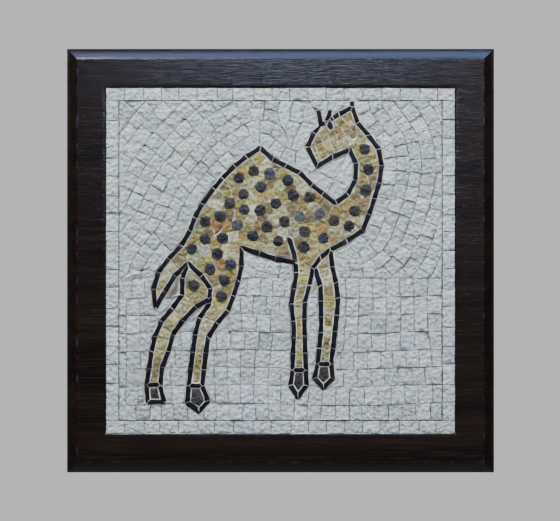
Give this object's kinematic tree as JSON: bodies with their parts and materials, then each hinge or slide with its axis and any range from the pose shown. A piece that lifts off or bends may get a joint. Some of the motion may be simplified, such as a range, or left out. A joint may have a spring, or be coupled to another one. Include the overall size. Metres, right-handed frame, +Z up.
{
  "type": "mosaic panel",
  "caption": "Square wall panel: a mosaic of split stones with a spotted camel looking back, let into a dark wooden board with rounded chamfers and a hanging slot in its back.",
  "frame": {"origin": "middle of the flat back of the board, where it rests against the wall", "axes": "+Z up along the wall, +Y out of the back into the wall, -Y towards the viewer, +X to the viewer's right"},
  "size_m": [0.245, 0.018, 0.243],
  "materials": {
    "stained_wood": "dark stain under a satin lacquer",
    "mortar": "matt mortar",
    "white_stone": "split limestone",
    "black_stone": "split basalt",
    "ochre_stone": "split yellow limestone",
    "brown_stone": "split brown stone",
    "slate": "split slate"
  },
  "bodies": {
    "root": {"board": "stained_wood", "setting_bed": "mortar", "border_tesserae": "white_stone", "ground_tesserae": "white_stone", "outline_tesserae": "black_stone", "coat_body": "ochre_stone", "coat_far_fore_leg": "ochre_stone", "coat_far_hind_leg": "ochre_stone", "hoof_near_fore": "brown_stone", "hoof_far_fore": "brown_stone", "hoof_near_hind": "brown_stone", "hoof_far_hind": "brown_stone", "spot_01": "slate", "spot_02": "slate", "spot_03": "slate", "spot_04": "slate", "spot_05": "slate", "spot_06": "slate", "spot_07": "slate", "spot_08": "slate", "spot_09": "slate", "spot_10": "slate", "spot_11": "slate", "spot_12": "slate", "spot_13": "slate", "spot_14": "slate", "spot_15": "slate", "spot_16": "slate", "spot_17": "slate", "spot_18": "slate", "spot_19": "slate", "spot_20": "slate", "spot_21": "slate", "spot_22": "slate", "spot_23": "slate", "spot_24": "slate", "spot_25": "slate", "spot_26": "slate", "spot_27": "slate", "spot_28": "slate", "spot_29": "slate", "spot_30": "slate", "spot_31": "slate", "spot_32": "slate", "spot_33": "slate", "spot_34": "slate", "spot_35": "slate", "spot_36": "slate", "spot_37": "slate", "spot_38": "slate", "spot_39": "slate"}
  },
  "joints": []
}
